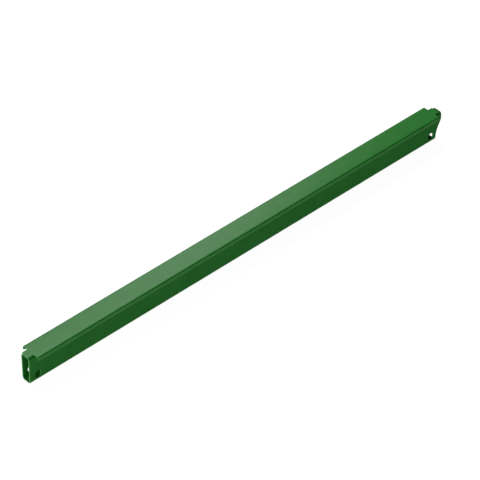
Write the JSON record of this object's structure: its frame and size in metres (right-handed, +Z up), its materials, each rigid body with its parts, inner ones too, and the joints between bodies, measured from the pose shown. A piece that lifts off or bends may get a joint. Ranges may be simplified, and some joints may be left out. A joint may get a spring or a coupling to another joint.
{
  "type": "flanged box beam",
  "caption": "Welded steel beam: a tall box tube with a cap strip whose long edges turn down as lips, an overhanging nose at one end, an open socket at the other, and cross holes.",
  "frame": {"origin": "centre of the bounding box's underside, on the tube's bottom face", "axes": "+X along the beam towards the overhanging nose, +Y to the beam's left, +Z up through the cap strip"},
  "size_m": [1.2, 0.05, 0.073],
  "materials": {
    "tube_paint": "satin green powder coat, fine orange peel",
    "strip_paint": "satin green powder coat, fine orange peel",
    "weld_paint": "satin green powder coat over rippled weld beads"
  },
  "bodies": {
    "root": {"box_tube": "tube_paint", "cap_strip": "strip_paint", "left_stitch_welds": "weld_paint", "right_stitch_welds": "weld_paint"}
  },
  "joints": []
}
